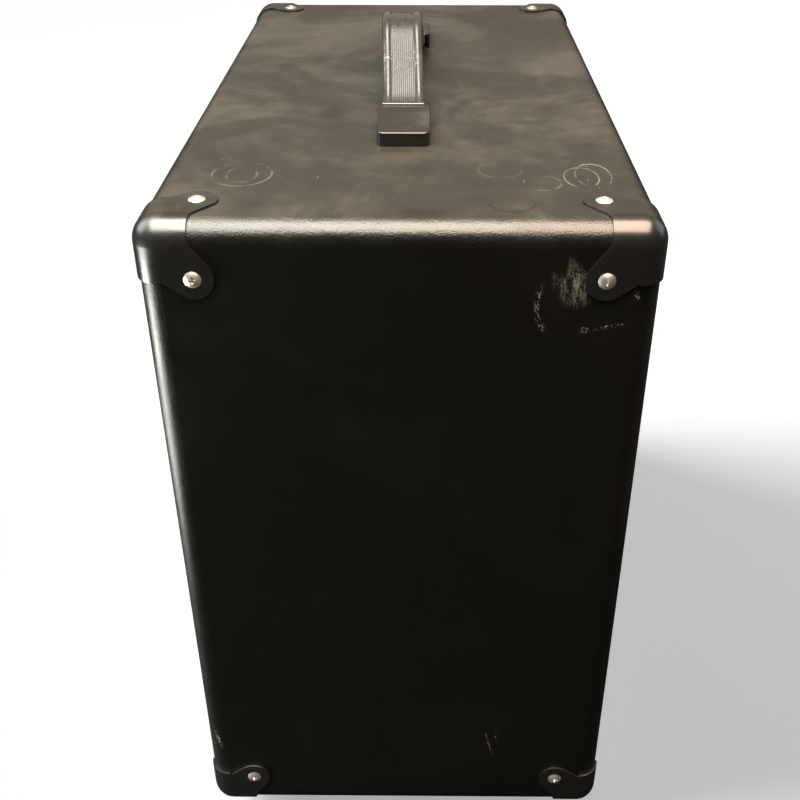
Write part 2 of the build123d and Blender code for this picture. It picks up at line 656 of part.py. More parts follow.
# ---- chassis ----
wall_y = CHASSIS_FRONT + WALL_T
inner_tall = CHASSIS_TOP - CHASSIS_FLOOR
with BuildPart() as chassis:
    with BuildSketch(Plane.XY.offset(CHASSIS_FLOOR)):
        with Locations((0, (CHASSIS_FRONT + CHASSIS_BACK) / 2)):
            Rectangle(2 * CHASSIS_X, CHASSIS_BACK - CHASSIS_FRONT)
    extrude(amount=inner_tall)
    with BuildSketch(Plane.XY.offset(CHASSIS_FLOOR + WALL_T)):
        with Locations((0, (CHASSIS_FRONT + CHASSIS_BACK) / 2)):
            Rectangle(2 * (CHASSIS_X - WALL_T), CHASSIS_BACK - CHASSIS_FRONT - 2 * WALL_T)
    extrude(amount=inner_tall, mode=Mode.SUBTRACT)
    with BuildSketch(Plane.XY.offset(CHASSIS_TOP)):
        with Locations(*[(side * (CHASSIS_X - WALL_T + FLANGE_X) / 2, 0) for side in (-1, 1)]):
            Rectangle(FLANGE_X - CHASSIS_X + WALL_T, 150)
        with Locations(*CHASSIS_BOLTS):
            Circle(2.5, mode=Mode.SUBTRACT)
    extrude(amount=CEILING_Z - CHASSIS_TOP)
    with Locations(*[(x, y, CHASSIS_FLOOR + WALL_T) for x in (-140, 85) for y in (-60, 60)]):
        Cylinder(3.5, BOARD_Z - CHASSIS_FLOOR - WALL_T, align=(Align.CENTER, Align.CENTER, Align.MIN))
    with BuildSketch(front_plane(0, wall_y, PANEL_Z)):
        with Locations(*[(x, 0) for x in KNOB_X], (JACK_X, 0)):
            Circle(BUSHING_R + 0.1)
        with Locations((LAMP_X, 0)):
            Circle(4.1)
        with Locations((SWITCH_X, 0)):
            Rectangle(13.4, 22.2)
    extrude(amount=WALL_T, mode=Mode.SUBTRACT)
    with BuildSketch(back_plane(INLET_X, CHASSIS_BACK - WALL_T, PANEL_Z)):
        Rectangle(27.2, 20.2)
    extrude(amount=WALL_T, mode=Mode.SUBTRACT)
    with BuildSketch(Plane.XY.offset(CHASSIS_FLOOR)):
        with Locations((CABLE_X, 20)):
            Circle(4.5)
        with Locations(*[(-90 + 12 * i, 80) for i in range(8)]):
            SlotOverall(14, 4, rotation=90)
    extrude(amount=WALL_T, mode=Mode.SUBTRACT)

with BuildPart() as chassis_bolts:
    for x, y in CHASSIS_BOLTS:
        seat = Plane(origin=(x, y, CHASSIS_TOP), x_dir=(1, 0, 0), z_dir=(0, 0, -1))
        add(pan_screw(seat, 2.4, 15))

with BuildPart() as control_panel:
    with BuildSketch(front_plane(0, CHASSIS_FRONT, PANEL_Z)):
        RectangleRounded(460, 61, 2)
        with Locations(*[(x, 0) for x in KNOB_X], (JACK_X, 0)):
            Circle(BUSHING_R + 0.1, mode=Mode.SUBTRACT)
        with Locations((LAMP_X, 0)):
            Circle(4.1, mode=Mode.SUBTRACT)
        with Locations((SWITCH_X, 0)):
            Rectangle(13.4, 22.2, mode=Mode.SUBTRACT)
    extrude(amount=CHASSIS_FRONT - PANEL_FRONT)

# ---- potentiometers, shafts and knobs ----
bushing_end = -119.0
with BuildPart() as pot_bodies:
    for x in KNOB_X:
        with BuildSketch(front_plane(x, -102, PANEL_Z)):
            Circle(8.2)
        extrude(amount=-102 - wall_y)
        with BuildSketch(front_plane(x, wall_y, PANEL_Z)):
            Circle(BUSHING_R)
        extrude(amount=wall_y - bushing_end)
        with Locations(*[(x + dx, -104.5, PANEL_Z - 11) for dx in (-5, 0, 5)]):
            Box(1.6, 0.8, 8)
        with BuildSketch(front_plane(x, -104, PANEL_Z)):
            Circle(SHAFT_R + CLEAR)
        extrude(amount=20, mode=Mode.SUBTRACT)

with BuildPart() as panel_nuts:
    for x in (*KNOB_X, JACK_X):
        with BuildSketch(front_plane(x, PANEL_FRONT, PANEL_Z)):
            RegularPolygon(6.35, 6, major_radius=False)
            Circle(BUSHING_R + CLEAR, mode=Mode.SUBTRACT)
        extrude(amount=2.4)


def pot_shaft(x):
    """A plain quarter-inch shaft from inside the potentiometer to inside the knob."""
    with BuildPart() as shaft:
        with BuildSketch(front_plane(x, -104.2, PANEL_Z)):
            Circle(SHAFT_R)
        extrude(amount=24.8)
        chamfer(shaft.faces().sort_by(Axis.Y)[0].edges(), 0.5)
    return shaft.part


def knob(x):
    """A skirted, fluted control knob with a pointer groove, hollow behind to clear its nut."""
    with BuildPart() as body:
        with BuildSketch(Plane((x, 0, PANEL_Z))):
            with BuildLine():
                Polyline((0, -131), (7.4, -131), (8.2, -130.2), (9.0, -119.5), (11.2, -118), (11.5, -117),
                         (11.5, -116), (8.4, -116), (8.4, -119.8), (SHAFT_R, -119.8), (SHAFT_R, -129.2),
                         (0, -129.2), close=True)
            make_face()
        revolve(axis=Axis((x, 0, PANEL_Z), (0, 1, 0)))
        with BuildSketch(front_plane(x, -119.6, PANEL_Z)):
            with PolarLocations(9.5, 18):
                Circle(0.9)
        extrude(amount=12, mode=Mode.SUBTRACT)
        with BuildSketch(front_plane(x, -130.5, PANEL_Z)):
            with Locations((0, 4.6)):
                Rectangle(1.2, 5.6)
        extrude(amount=1, mode=Mode.SUBTRACT)
    return body.part


shafts = {}
knobs = {}
for number, x in enumerate(KNOB_X, start=1):
    shafts[f"pot_shaft_{number}"] = pot_shaft(x)
    knobs[f"knob_{number}"] = knob(x)

# ---- input jack ----
with BuildPart() as input_jack:
    with BuildSketch(front_plane(JACK_X, wall_y + 25, PANEL_Z)):
        RectangleRounded(17, 22, 2)
    extrude(amount=25)
    with BuildSketch(front_plane(JACK_X, wall_y, PANEL_Z)):
        Circle(BUSHING_R)
    extrude(amount=wall_y - bushing_end)
    with BuildSketch(front_plane(JACK_X, bushing_end, PANEL_Z)):
        Circle(JACK_BORE_R)
    extrude(amount=-JACK_BORE_L, mode=Mode.SUBTRACT)
    with Locations(*[(JACK_X + dx, wall_y + 28, PANEL_Z) for dx in (-5, 0, 5)]):
        Box(3, 6, 0.8)

# ---- power switch ----
with BuildPart() as switch_housing:
    with BuildSketch(front_plane(SWITCH_X, PANEL_FRONT, PANEL_Z)):
        RectangleRounded(16, 25, 1.5)
    extrude(amount=2)
    with BuildSketch(front_plane(SWITCH_X, -98, PANEL_Z)):
        Rectangle(13.2, 22)
    extrude(amount=-98 - PANEL_FRONT)
    with BuildSketch(front_plane(SWITCH_X, -105, PANEL_Z)):
        Rectangle(10.8, 19.6)
    extrude(amount=20, mode=Mode.SUBTRACT)
    with BuildSketch(Plane.YZ.offset(SWITCH_X - 6.3)):
        with Locations((SWITCH_Y, PANEL_Z)):
            Circle(1.2 + CLEAR)
    extrude(amount=12.6, mode=Mode.SUBTRACT)
    with Locations(*[(SWITCH_X, -94, PANEL_Z + dz) for dz in (-7, 0, 7)]):
        Box(6.3, 8, 0.8)

tilt = radians(ROCKER_TILT)
rocker_plane = Plane(origin=(SWITCH_X - 5, SWITCH_Y, PANEL_Z), x_dir=(0, -cos(tilt), -sin(tilt)),
                     z_dir=(1, 0, 0))
with BuildPart() as power_rocker:
    with BuildSketch(rocker_plane):
        with BuildLine():
            Polyline((3.6, 8.6), (2.4, 0), (3.6, -8.6), (0.5, -8.8), (-4, -3), (-4, 3), (0.5, 8.8),
                     close=True)
        make_face()
    extrude(amount=10)
    with BuildSketch(Plane.YZ.offset(SWITCH_X - 6.1)):
        with Locations((SWITCH_Y, PANEL_Z)):
            Circle(1.2)
    extrude(amount=12.2)

# ---- pilot lamp ----
with BuildPart() as pilot_lamp:
    with BuildSketch(Plane((LAMP_X, 0, PANEL_Z))):
        with BuildLine():
            Polyline((0, -96), (4, -96), (4, PANEL_FRONT), (7.5, PANEL_FRONT), (7.5, -116.4), (6.6, -117.4),
                     (5.6, -117.4))
            ThreePointArc((5.6, -117.4), dome_point(5.6, -117.4, -121.2, 3), (0, -121.2))
            Line((0, -121.2), (0, -96))
        make_face()
    revolve(axis=Axis((LAMP_X, 0, PANEL_Z), (0, 1, 0)))

# ---- inside the tray ----
with BuildPart() as circuit_board:
    with Locations((-27.5, 0, BOARD_Z + 0.8)):
        Box(245, 140, 1.6)
    with BuildSketch(Plane.XY.offset(BOARD_Z + 1.6)):
        with Locations((-110, -20), (-60, -20), (-10, -20), (40, -20)):
            Rectangle(10, 7)
    extrude(amount=4)
    with BuildSketch(Plane.XY.offset(BOARD_Z + 1.6)):
        with GridLocations(22, 22, 9, 2):
            Rectangle(9, 3.2)
    extrude(amount=3)
    with BuildSketch(Plane.XY.offset(BOARD_Z + 1.6)):
        with Locations(*[(-130 + 26 * i, -55) for i in range(8)]):
            Circle(4)
    extrude(amount=11)

with BuildPart() as filter_capacitors:
    with BuildSketch(Plane.XY.offset(BOARD_Z + 1.6)):
        with Locations((20, 46), (55, 46)):
            Circle(12.5)
    extrude(amount=40)
    fillet(filter_capacitors.faces().sort_by(Axis.Z)[-2:].edges(), 1.5)

with BuildPart() as mains_transformer:
    with Locations((150, 25, CHASSIS_FLOOR + WALL_T)):
        Box(32, 66, 54, align=(Align.CENTER, Align.CENTER, Align.MIN))
    with Locations((150, 25, CHASSIS_FLOOR + WALL_T + 11)):
        Box(58, 42, 32, align=(Align.CENTER, Align.CENTER, Align.MIN))
    winding = mains_transformer.edges().filter_by(Axis.Z).group_by(SortBy.LENGTH)[0]
    fillet(winding, 5)
    with Locations((150, 25, CHASSIS_FLOOR + WALL_T)):
        Box(32, 88, 2.5, align=(Align.CENTER, Align.CENTER, Align.MIN))

with BuildPart() as heat_sink:
    with Locations((-65, CHASSIS_BACK + 2, PANEL_Z)):
        Box(120, 4, 44)
    with Locations(*[(-65 - 55 + 10 * i, CHASSIS_BACK + 4 + 6, PANEL_Z) for i in range(12)]):
        Box(2, 12, 44)

with BuildPart() as power_transistors:
    with BuildSketch(Plane.XZ.offset(-(CHASSIS_BACK - WALL_T))):
        with Locations(*[(x, 404) for x in (-95, -35)]):
            Rectangle(15.5, 20)
            Circle(1.7, mode=Mode.SUBTRACT)
    extrude(amount=5)

with BuildPart() as mains_inlet:
    with BuildSketch(back_plane(INLET_X, CHASSIS_BACK, PANEL_Z)):
        RectangleRounded(31, 24, 2.5)
    extrude(amount=2.5)
    with BuildSketch(back_plane(INLET_X, CHASSIS_BACK - 22, PANEL_Z)):
        Rectangle(27, 20)
    extrude(amount=22)
    with BuildSketch(back_plane(INLET_X, CHASSIS_BACK + 2.5, PANEL_Z)):
        RectangleRounded(24.4, 16.6, 3)
    extrude(amount=-17, mode=Mode.SUBTRACT)
    with BuildSketch(back_plane(INLET_X, CHASSIS_BACK - 15, PANEL_Z)):
        with Locations((-7, -2), (0, 2), (7, -2)):
            Rectangle(2, 4)
    extrude(amount=14)

with BuildPart() as speaker_cable:
    with BuildLine() as cable_line:
        Spline((CABLE_X, 20, CHASSIS_FLOOR + 6), (CABLE_X, 20, 350), (44, -15, 322), (14, -46, 314),
               tangents=((0, 0, -1), (-1, -0.6, -0.4)))
    with BuildSketch(Plane(origin=cable_line.line @ 0, z_dir=(0, 0, -1))):
        Circle(3)
    sweep(path=cable_line.line)

pieces = {
    "top_board": top_board.part,
    "bottom_board": bottom_board.part,
    "left_side_board": left_side_board.part,
    "right_side_board": right_side_board.part,
    "vinyl_covering": vinyl_covering.part,
    "cleats": cleats.part,
    "corner_protectors_front": corner_protectors_front.part,
    "corner_protectors_rear": corner_protectors_rear.part,
    "corner_screws": corner_screws.part,
    "rubber_feet": rubber_feet.part,
    "foot_screws": foot_screws.part,
    "handle_strap": handle_strap.part,
    "handle_core": handle_core.part,
    "handle_cap_left": handle_cap_left.part,
    "handle_cap_right": handle_cap_right.part,
    "handle_screws": handle_screws.part,
    "speaker_baffle": speaker_baffle.part,
    "grille_frame": grille_frame.part,
    "grille_cloth": grille_cloth.part,
    "upper_back_panel": upper_back_panel.part,
    "lower_back_panel": lower_back_panel.part,
    "back_panel_screws": back_panel_screws.part,
    "speaker_frame": speaker_frame.part,
    "speaker_gasket": speaker_gasket.part,
    "speaker_screws": speaker_screws.part,
    "speaker_surround": speaker_surround.part,
    "speaker_cone": speaker_cone.part,
    "dust_cap": dust_cap.part,
    "voice_coil": voice_coil.part,
    "speaker_spider": speaker_spider.part,
    "magnet_top_plate": magnet_top_plate.part,
    "magnet_ring": magnet_ring.part,
    "pole_plate": pole_plate.part,
    "speaker_terminals": speaker_terminals.part,
    "chassis": chassis.part,
    "chassis_bolts": chassis_bolts.part,
    "control_panel": control_panel.part,
    "pot_bodies": pot_bodies.part,
    "panel_nuts": panel_nuts.part,
    "input_jack": input_jack.part,
    "switch_housing": switch_housing.part,
    "power_rocker": power_rocker.part,
    "pilot_lamp": pilot_lamp.part,
    "circuit_board": circuit_board.part,
    "filter_capacitors": filter_capacitors.part,
    "mains_transformer": mains_transformer.part,
    "heat_sink": heat_sink.part,
    "power_transistors": power_transistors.part,
    "mains_inlet": mains_inlet.part,
    "speaker_cable": speaker_cable.part,
    **shafts,
    **knobs,
}
for name, piece in pieces.items():
    piece.label = name
    export_step(piece, f"parts/{name}.step")
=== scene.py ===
"""Looks for the combo guitar amplifier: materials, fine detail, light and camera."""
import json
from math import cos, pi, radians, sin

import bpy
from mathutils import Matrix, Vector


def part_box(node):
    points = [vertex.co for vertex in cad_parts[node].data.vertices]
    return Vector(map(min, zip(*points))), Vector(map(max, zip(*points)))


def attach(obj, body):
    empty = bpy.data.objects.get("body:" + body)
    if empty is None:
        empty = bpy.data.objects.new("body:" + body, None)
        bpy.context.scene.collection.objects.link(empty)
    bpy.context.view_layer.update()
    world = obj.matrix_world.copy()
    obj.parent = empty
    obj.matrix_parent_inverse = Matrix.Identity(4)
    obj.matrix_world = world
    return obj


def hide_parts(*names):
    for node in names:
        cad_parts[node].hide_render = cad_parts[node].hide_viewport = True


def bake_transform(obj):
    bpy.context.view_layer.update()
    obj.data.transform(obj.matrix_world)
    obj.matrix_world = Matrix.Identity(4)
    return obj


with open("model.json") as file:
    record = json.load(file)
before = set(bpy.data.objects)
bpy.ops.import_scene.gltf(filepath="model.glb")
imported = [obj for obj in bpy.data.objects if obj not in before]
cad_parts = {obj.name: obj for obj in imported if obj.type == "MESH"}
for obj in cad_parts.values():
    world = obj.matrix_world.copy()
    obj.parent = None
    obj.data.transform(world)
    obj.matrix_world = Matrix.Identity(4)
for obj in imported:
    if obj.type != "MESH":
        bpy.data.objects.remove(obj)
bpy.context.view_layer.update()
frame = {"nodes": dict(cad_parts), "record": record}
nodes = frame["nodes"]

MM = 0.001
AXIS_X, AXIS_Y, AXIS_Z = range(3)
# A dust colour; on the vinyl top it also serves as a painted sheen of light
DUST_AND_SHEEN = (0.30, 0.275, 0.215)
SPEAKER_Z = 201 * MM


# ---------------------------------------------------------------- node helpers
class Surface:
    """A procedural material under construction, in the object's own metres."""

    def __init__(self, name):
        self.material = bpy.data.materials.new(name)
        self.material.use_nodes = True
        self.tree = self.material.node_tree
        self.bsdf = self.tree.nodes["Principled BSDF"]
        self.coord = self.tree.nodes.new("ShaderNodeTexCoord").outputs["Object"]

    def node(self, kind, **settings):
        made = self.tree.nodes.new(kind)
        for key, value in settings.items():
            setattr(made, key, value)
        return made

    def put(self, socket, value):
        if isinstance(value, bpy.types.NodeSocket):
            self.tree.links.new(value, socket)
        else:
            socket.default_value = value

    def math(self, operation, a, b=0.0):
        made = self.node("ShaderNodeMath", operation=operation)
        self.put(made.inputs[0], a)
        self.put(made.inputs[1], b)
        return made.outputs[0]

    def span(self, value, low, high, out_low=0.0, out_high=1.0):
        """A smooth step from out_low at low to out_high at high."""
        made = self.node("ShaderNodeMapRange", interpolation_type="SMOOTHSTEP")
        self.put(made.inputs[0], value)
        for i, number in enumerate((low, high, out_low, out_high), start=1):
            self.put(made.inputs[i], number)
        return made.outputs[0]

    def place(self, location=(0, 0, 0), rotation=(0, 0, 0), scale=(1, 1, 1), vector=None):
        made = self.node("ShaderNodeMapping", vector_type="POINT")
        self.put(made.inputs["Vector"], vector or self.coord)
        self.put(made.inputs["Location"], location)
        self.put(made.inputs["Rotation"], rotation)
        self.put(made.inputs["Scale"], scale)
        return made.outputs[0]

    def noise(self, scale, detail=3.0, rough=0.5, distortion=0.0, vector=None):
        made = self.node("ShaderNodeTexNoise")
        self.put(made.inputs["Vector"], vector or self.coord)
        self.put(made.inputs["Scale"], scale)
        self.put(made.inputs["Detail"], detail)
        self.put(made.inputs["Roughness"], rough)
        self.put(made.inputs["Distortion"], distortion)
        return made.outputs["Fac"]

    def cells(self, scale, feature="F1", vector=None):
        made = self.node("ShaderNodeTexVoronoi", feature=feature)
        self.put(made.inputs["Vector"], vector or self.coord)
        self.put(made.inputs["Scale"], scale)
        return made.outputs["Distance"]

    def waves(self, pitch, direction="X", distortion=0.0, vector=None, profile="SIN"):
        """Parallel bands, one every pitch metres."""
        made = self.node("ShaderNodeTexWave", bands_direction=direction, wave_profile=profile)
        self.put(made.inputs["Vector"], vector or self.coord)
        self.put(made.inputs["Scale"], pi / (10 * pitch))
        self.put(made.inputs["Distortion"], distortion)
        return made.outputs["Fac"]

    def warp(self, scale, reach):
        """The object's coordinates pushed about by a soft noise."""
        wobble = self.node("ShaderNodeTexNoise")
        self.put(wobble.inputs["Vector"], self.coord)
        self.put(wobble.inputs["Scale"], scale)
        self.put(wobble.inputs["Detail"], 2.0)
        moved = self.node("ShaderNodeVectorMath", operation="MULTIPLY_ADD")
        self.put(moved.inputs[0], wobble.outputs["Color"])
        self.put(moved.inputs[1], (reach, reach, reach))
        self.put(moved.inputs[2], self.coord)
        return moved.outputs[0]

    def length(self, vector):
        made = self.node("ShaderNodeVectorMath", operation="LENGTH")
        self.put(made.inputs[0], vector)
        return made.outputs["Value"]

    def split(self, vector=None):
        made = self.node("ShaderNodeSeparateXYZ")
        self.put(made.inputs[0], vector or self.coord)
        return made.outputs

    def facing(self, axis):
        """1 where the surface looks along an axis, falling to 0 at about 45 degrees."""
        normal = self.node("ShaderNodeNewGeometry").outputs["Normal"]
        return self.span(self.split(normal)[axis], 0.72, 0.98)

    def mix(self, factor, a, b):
        made = self.node("ShaderNodeMix", data_type="RGBA")
        self.put(made.inputs[0], factor)
        self.put(made.inputs[6], (*a, 1) if isinstance(a, tuple) else a)
        self.put(made.inputs[7], (*b, 1) if isinstance(b, tuple) else b)
        return made.outputs[2]

    def bump(self, height, depth, strength=1.0, under=None):
        made = self.node("ShaderNodeBump")
        self.put(made.inputs["Height"], height)
        self.put(made.inputs["Distance"], depth)
        self.put(made.inputs["Strength"], strength)
        if under is not None:
            self.put(made.inputs["Normal"], under)
        return made.outputs[0]

    def finish(self, color, roughness, normal=None, **extra):
        self.put(self.bsdf.inputs["Base Color"], (*color, 1) if isinstance(color, tuple) else color)
        self.put(self.bsdf.inputs["Roughness"], roughness)
        if normal is not None:
            self.put(self.bsdf.inputs["Normal"], normal)
        for key, value in extra.items():
            self.put(self.bsdf.inputs[key.replace("_", " ")], value)
        return self.material

    def ring(self, centre, radii, half_width):
        """A soft ellipse line about a point in mm. An axis with radius 0 is ignored, and the line's
        half width is a share of the radius."""
        scale = tuple(1 / (r * MM) if r else 0 for r in radii)
        shift = tuple(-c * MM * k for c, k in zip(centre, scale))
        reach = self.length(self.place(location=shift, scale=scale))
        gap = self.math("ABSOLUTE", self.math("SUBTRACT", reach, 1.0))
        return self.span(gap, 0.0, half_width, 1.0, 0.0)

    def smudge(self, centre, half_size, turn=0.0):
        """A soft ellipsoid patch about a point in mm, turned about the X axis by degrees."""
        moved = self.place(location=tuple(-c * MM for c in centre))
        turned = self.place(rotation=(radians(turn), 0, 0), vector=moved)
        scaled = self.place(scale=tuple(1 / (h * MM) for h in half_size), vector=turned)
        return self.span(self.length(scaled), 0.35, 1.0, 1.0, 0.0)

    def most(self, *values):
        """The largest of several values."""
        top = values[0]
        for value in values[1:]:
            top = self.math("MAXIMUM", top, value)
        return top

    def times(self, *values):
        """The product of several values."""
        product = values[0]
        for value in values[1:]:
            product = self.math("MULTIPLY", product, value)
        return product


# ---------------------------------------------------------------- cabinet vinyl
# Rings on the top, in mm: centre x and y, half sizes, line width as a share of them, strength
TOP_RINGS = (
    (180.6, -86.7, 18.0, 16.2, 0.06, 0.45),
    (181.5, -86.7, 11.5, 8.2, 0.14, 0.30),
    (184.4, 96.6, 15.0, 9.3, 0.08, 0.75),
    (181.7, 103.3, 18.0, 9.7, 0.07, 0.90),
    (192.7, 75.0, 10.5, 10.0, 0.11, 0.45),
    (173.0, 53.5, 12.0, 12.0, 0.12, 0.15),
)
# Thin marks on the end face, in mm: centre y and z, half sizes, turn in degrees
END_LINES = (
    (107.0, 396.4, 9.5, 1.6, -13),
    (95.0, 394.2, 3.2, 2.8, 0),
    (119.7, 414.1, 1.6, 4.2, -20),
    (57.0, 77.5, 1.0, 15.0, -12),
    (61.5, 86.0, 0.8, 9.0, -7),
    (-125.4, 78.8, 2.0, 10.5, -12),
)
END_X = 250.0
TOP_Z = 450.0
MARK_DEPTH = 20.0


def top_rings(s):
    """Faint broken rings on the top, near the end face."""
    rings = [s.times(s.ring((x, y, 0), (half_x, half_y, 0), width), weight)
             for x, y, half_x, half_y, width, weight in TOP_RINGS]
    gate = s.span(s.noise(62.0, 3.0, 0.6), 0.42, 0.60)
    return s.times(s.most(*rings), gate)


def end_marks(s, parts):
    """Whitish rubs, specks and scratches on the end face, near its top corner and its edges."""
    def patch(y, z, half_y, half_z, turn):
        return s.smudge((END_X, y, z), (MARK_DEPTH, half_y, half_z), turn)

    rub = s.most(patch(90.0, 421.0, 6.0, 17.0, -22), s.times(patch(84.0, 416.0, 6.0, 15.0, -35), 0.7))
    lines = [patch(*line) for line in END_LINES]
    arc = s.ring((0, 98, 409), (0, 28.5, 28.0), 0.08)
    arc = s.times(arc, s.span(parts[AXIS_Y], 76 * MM, 80 * MM, 1.0, 0.0),
                  s.span(parts[AXIS_Z], 391 * MM, 398 * MM),
                  s.span(parts[AXIS_Z], 416 * MM, 423 * MM, 1.0, 0.0))
    specks = s.span(s.noise(1150.0, 3.0, 0.7), 0.54, 0.64)
    brushed = s.place(rotation=(radians(-22), 0, 0), scale=(1, 1, 0.25))
    smear = s.span(s.noise(330.0, 3.0, 0.6, vector=brushed), 0.42, 0.66)
    rubbed = s.times(rub, s.math("ADD", s.times(smear, 0.34), s.times(specks, 0.30)))
    drawn = s.most(rubbed, s.times(s.most(*lines, arc), specks))
    return s.times(drawn, s.span(parts[AXIS_X], (END_X - 15) * MM, (END_X - 5) * MM))


def grime_patches(s, parts):
    """Darker patches and a dark arc on the top."""
    arc = s.times(s.ring((221, 57, 0), (12, 11.6, 0), 0.16), s.span(parts[AXIS_X], 219 * MM, 225 * MM))
    return s.most(s.smudge((235, 10, TOP_Z), (9, 16, MARK_DEPTH)),
                  s.smudge((72, -47, TOP_Z), (15, 12, MARK_DEPTH)), arc)


def vinyl_material():
    s = Surface("vinyl")
    on_top = s.facing(AXIS_Z)
    parts = s.split()

    # The embossed skin: creases round small cells, drawn-out wrinkles, pores and a soft swell
    warped = s.warp(120.0, 5 * MM)
    creases = s.span(s.cells(430.0, "DISTANCE_TO_EDGE", warped), 0.0, 0.20)
    slanted = (radians(20), radians(14), radians(38))
    drawn = s.place(rotation=slanted, scale=(1.0, 0.28, 0.6), vector=warped)
    wrinkles = s.noise(480.0, 4.0, 0.65, 0.5, drawn)
    pores = s.cells(1500.0, "SMOOTH_F1")
    swell = s.noise(46.0, 3.0)
    normal = s.bump(pores, 0.05 * MM, 0.5)
    normal = s.bump(creases, 0.07 * MM, 0.5, normal)
    normal = s.bump(wrinkles, 0.24 * MM, 0.6, normal)
    normal = s.bump(swell, 0.35 * MM, 0.18, normal)

    # A dull uneven film on the top, partly dust and partly a painted sheen of light, and loose specks of
    # dust everywhere
    patches = s.span(s.noise(9.0, 5.0, 0.62, 0.6), 0.42, 0.66)
    mottle = s.noise(60.0, 5.0, 0.65)
    film = s.math("ADD", s.times(patches, 0.050), 0.022)
    film = s.math("ADD", film, s.times(mottle, 0.030))
    clean = s.math("SUBTRACT", 1.0, s.times(grime_patches(s, parts), 0.45))
    # Only faces looking up get the film: there it is painted sheen as well as dust
    film = s.times(film, on_top, clean)
    dust = s.span(s.cells(110.0), 0.03, 0.05, 1.0, 0.0)
    dust = s.times(dust, s.span(s.noise(31.0, 1.0), 0.5, 0.62), s.math("ADD", s.times(on_top, 0.7), 0.10))

    color = s.mix(film, (0.0024, 0.0022, 0.0018), DUST_AND_SHEEN)
    color = s.mix(s.times(top_rings(s), on_top, 0.17), color, (0.45, 0.43, 0.36))
    color = s.mix(s.times(end_marks(s, parts), 0.55), color, (0.40, 0.38, 0.32))
    color = s.mix(s.times(dust, 0.5), color, (0.48, 0.45, 0.38))
    rough = s.span(patches, 0.0, 1.0, 0.33, 0.41)
    rough = s.math("ADD", rough, s.times(s.math("SUBTRACT", mottle, 0.5), 0.16))
    gloss = s.span(s.facing(AXIS_X), 0.0, 1.0, 0.42, 0.22)
    return s.finish(color, rough, normal, Specular_IOR_Level=gloss)


# ---------------------------------------------------------------- the other materials
def plastic(name, color, rough, grain=700.0, depth=0.03, scuffed=0.0):
    """Moulded or painted: a grain depth mm deep, worn patches, fine scratches, dust where it faces up."""
    s = Surface(name)
    wear = s.span(s.noise(26.0, 4.0, 0.6), 0.45, 0.7)
    scratch = s.span(s.noise(40.0, 3.0, 0.7, vector=s.place(scale=(1, 14, 6))), 0.60, 0.68)
    film = s.times(s.facing(AXIS_Z), s.math("ADD", s.times(wear, 0.05), 0.02))
    film = s.math("ADD", film, s.times(scratch, scuffed))
    roughness = s.math("ADD", rough, s.times(s.math("SUBTRACT", wear, 0.4), 0.10))
    return s.finish(s.mix(film, color, DUST_AND_SHEEN), roughness, s.bump(s.noise(grain, 2.0), depth * MM, 0.5))


def metal(name, color, rough, brushed=(1, 1, 1)):
    """Bare metal with cloudy tarnish, and lines drawn out where brushed is below 1."""
    s = Surface(name)
    cloud = s.span(s.noise(160.0, 4.0, 0.6), 0.5, 0.75)
    lines = s.noise(300.0, 3.0, 0.6, vector=s.place(scale=brushed))
    tone = s.mix(s.times(cloud, 0.25), color, (0.25, 0.2, 0.14))
    roughness = s.math("ADD", rough, s.times(lines, 0.16))
    return s.finish(tone, roughness, s.bump(lines, 0.02 * MM, 0.6), Metallic=1.0)


def wood_material(name, along):
    """Bare plywood with its grain drawn out along an axis."""
    s = Surface(name)
    stretch = [1.0, 1.0, 1.0]
    stretch[along] = 0.07
    drawn = s.place(scale=tuple(stretch))
    rays = s.noise(90.0, 5.0, 0.6, 1.2, drawn)
    streak = s.noise(420.0, 3.0, 0.6, vector=drawn)
    rings = s.waves(35 * MM, "DIAGONAL", 7.0, drawn)
    tone = s.mix(s.span(rays, 0.3, 0.7), (0.50, 0.35, 0.20), (0.66, 0.49, 0.31))
    tone = s.mix(s.times(s.span(streak, 0.55, 0.75), 0.4), tone, (0.36, 0.23, 0.12))
    tone = s.mix(s.times(rings, 0.18), tone, (0.42, 0.28, 0.15))
    return s.finish(tone, s.span(rays, 0.3, 0.7, 0.55, 0.72), s.bump(streak, 0.08 * MM, 0.6))


def painted_wood():
    s = Surface("black_painted_wood")
    grain = s.noise(420.0, 3.0, 0.6, vector=s.place(scale=(0.07, 1, 1)))
    worn = s.span(s.noise(30.0, 4.0, 0.6), 0.5, 0.75)
    tone = s.mix(s.times(worn, 0.2), (0.010, 0.010, 0.010), (0.05, 0.048, 0.045))
    return s.finish(tone, s.span(grain, 0.3, 0.7, 0.55, 0.7), s.bump(grain, 0.08 * MM, 0.6))


def grille_material():
    s = Surface("grille_cloth")
    pitch = 1.5 * MM
    upright = s.place(scale=(1, 0, 1), vector=s.warp(60.0, 0.8 * MM))
    warp = s.waves(pitch, "X", vector=upright)
    weft = s.waves(pitch, "Z", vector=upright)
    basket = s.most(s.times(warp, s.span(s.waves(4 * pitch, "Z", vector=upright), 0.35, 0.65)),
                    s.times(weft, s.span(s.waves(4 * pitch, "X", vector=upright), 0.35, 0.65)))
    fuzz = s.noise(1500.0, 3.0, 0.7)
    thread = s.span(s.noise(160.0, 2.0, vector=s.place(scale=(8, 1, 0.25))), 0.62, 0.70)
    weave = s.math("ADD", s.times(basket, 0.8), s.times(fuzz, 0.3))
    tone = s.mix(weave, (0.005, 0.005, 0.005), (0.055, 0.053, 0.050))
    tone = s.mix(s.times(thread, weave, 0.6), tone, (0.30, 0.30, 0.29))
    return s.finish(tone, 0.78, s.bump(weave, 0.4 * MM, 0.9), Sheen_Weight=0.12)


